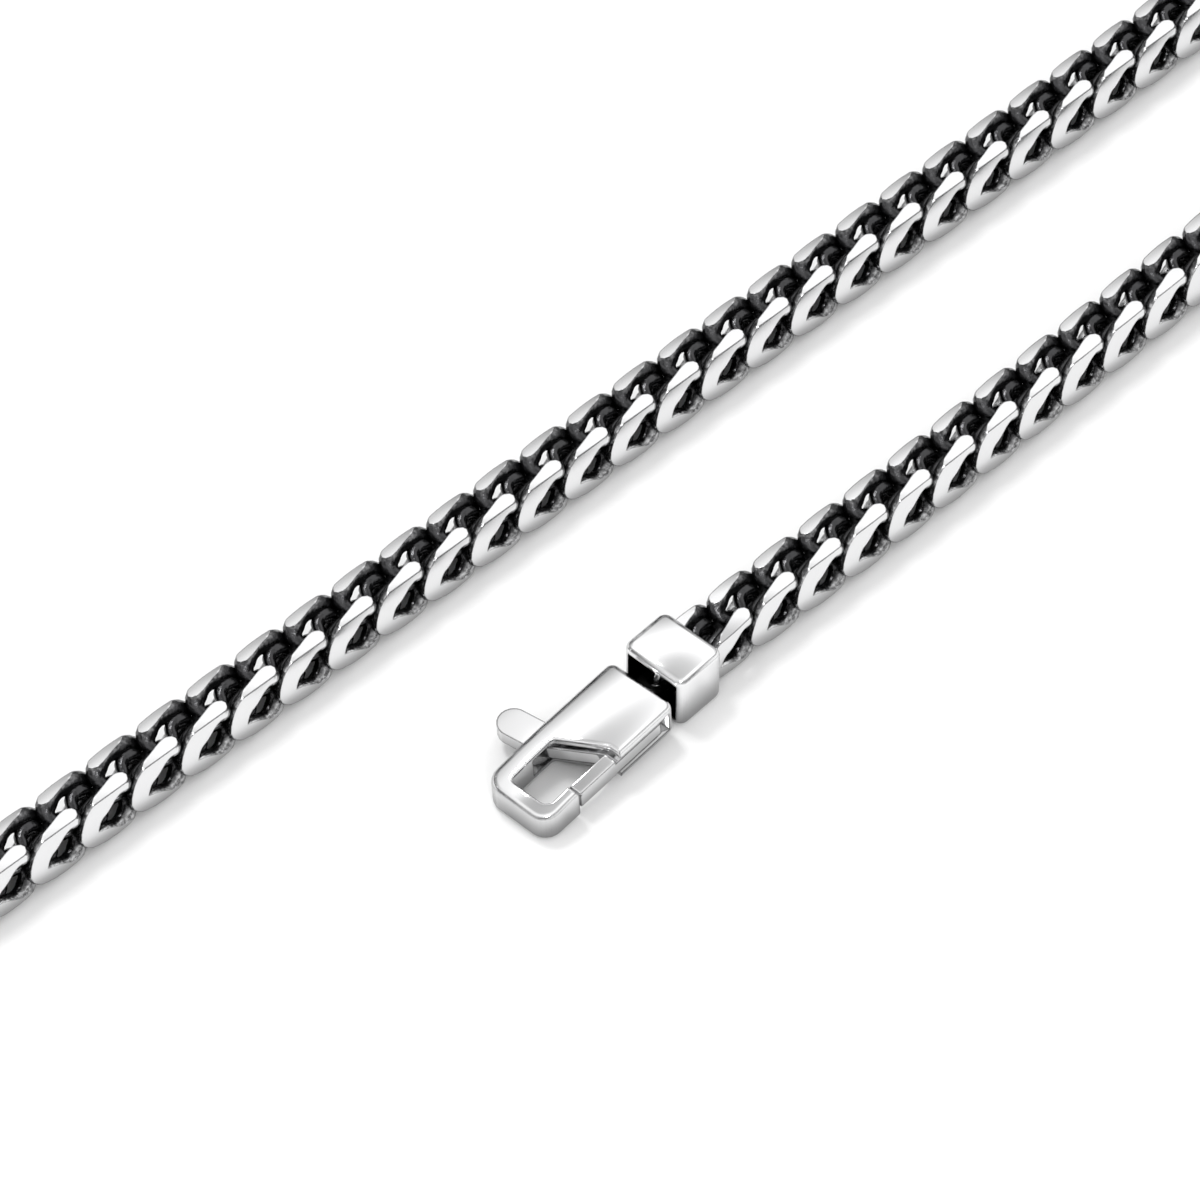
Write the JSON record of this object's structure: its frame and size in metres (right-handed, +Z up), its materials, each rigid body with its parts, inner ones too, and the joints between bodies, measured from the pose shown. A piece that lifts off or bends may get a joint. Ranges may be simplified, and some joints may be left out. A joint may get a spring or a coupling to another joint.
{
  "type": "franco chain necklace",
  "caption": "Square-section franco chain necklace in polished silver with a box lobster clasp, lying open on a flat surface.",
  "frame": {"origin": "below the middle of the necklace's box, on the surface that it lies on", "axes": "+X along the loop's long way, from the clasp's hook towards its chain; +Z up from the surface"},
  "size_m": [0.278, 0.0418, 0.0059],
  "materials": {
    "chain_silver": "diamond-cut polished facets, oxidised dark in the recesses",
    "polished_silver": "high polish"
  },
  "bodies": {
    "necklace": {"chain": "chain_silver", "clasp_end_cap": "polished_silver", "clasp_ring": "polished_silver", "clasp_body": "polished_silver", "loop_end_cap": "polished_silver"},
    "lever": {"clasp_lever": "polished_silver"}
  },
  "joints": [
    {"name": "gate_hinge", "type": "hinge", "parent": "necklace", "child": "lever", "pos_m": [-0.02368, -0.01423, 0.00264], "axis": [0.0634, 0, -0.998], "range_deg": [0, 20], "stiffness_Nm_per_rad": 0.02}
  ]
}
